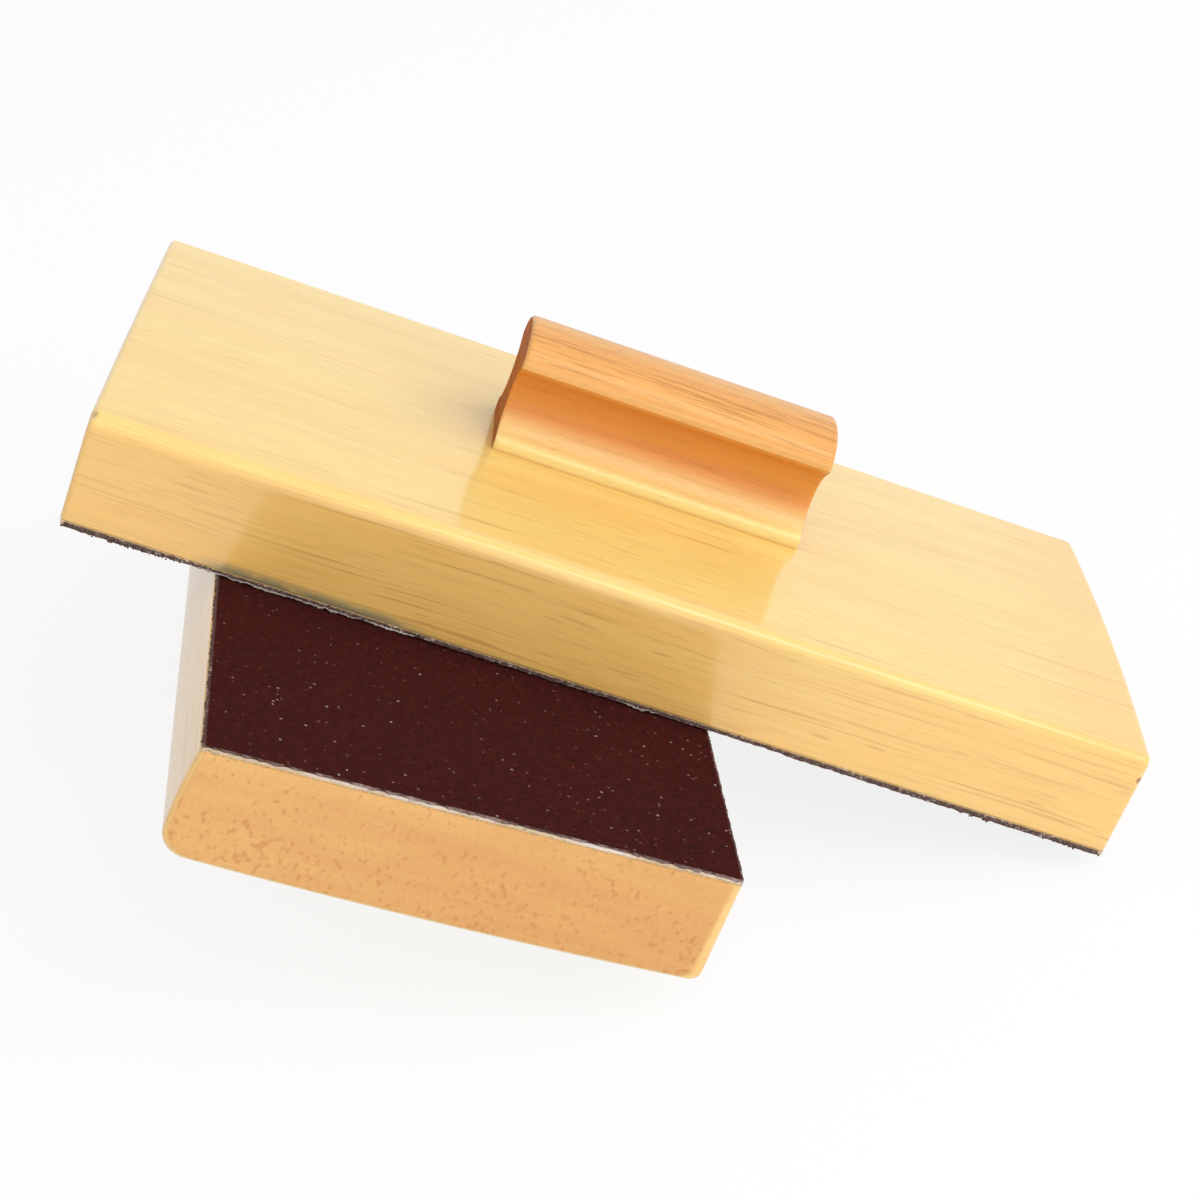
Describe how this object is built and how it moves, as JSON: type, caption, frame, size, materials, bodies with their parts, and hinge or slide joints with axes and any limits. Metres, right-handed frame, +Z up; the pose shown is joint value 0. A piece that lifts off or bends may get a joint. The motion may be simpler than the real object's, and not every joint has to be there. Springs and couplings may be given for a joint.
{
  "type": "sand blocks",
  "caption": "Pair of wooden sand blocks with coved handles, one laid across the other sole to sole; the abrasive soles are rubbed together as a percussion instrument.",
  "frame": {"origin": "middle of the underside of the pair's box, on the table that the lower handle and one corner of the upper block stand on", "axes": "+Z up from the table, +Y along the lower block away from the viewer, +X to the right, where the pair leans down"},
  "size_m": [0.152, 0.15, 0.0687],
  "materials": {
    "pale_wood": "gloss",
    "orange_wood": "gloss",
    "backing_cloth": "matte",
    "maroon_abrasive": "matte",
    "zinc_plated_steel": "satin"
  },
  "bodies": {
    "lower": {"lower_block": "pale_wood", "lower_handle": "orange_wood", "lower_backing": "backing_cloth", "lower_abrasive": "maroon_abrasive", "lower_screw_front": "zinc_plated_steel", "lower_screw_rear": "zinc_plated_steel"},
    "upper": {"upper_block": "pale_wood", "upper_handle": "orange_wood", "upper_backing": "backing_cloth", "upper_abrasive": "maroon_abrasive", "upper_screw_front": "zinc_plated_steel", "upper_screw_rear": "zinc_plated_steel"}
  },
  "joints": [
    {"name": "rub_stroke", "type": "slide", "parent": "lower", "child": "upper", "axis": [0, 1, 0], "range_m": [-0.035, 0.035]}
  ]
}
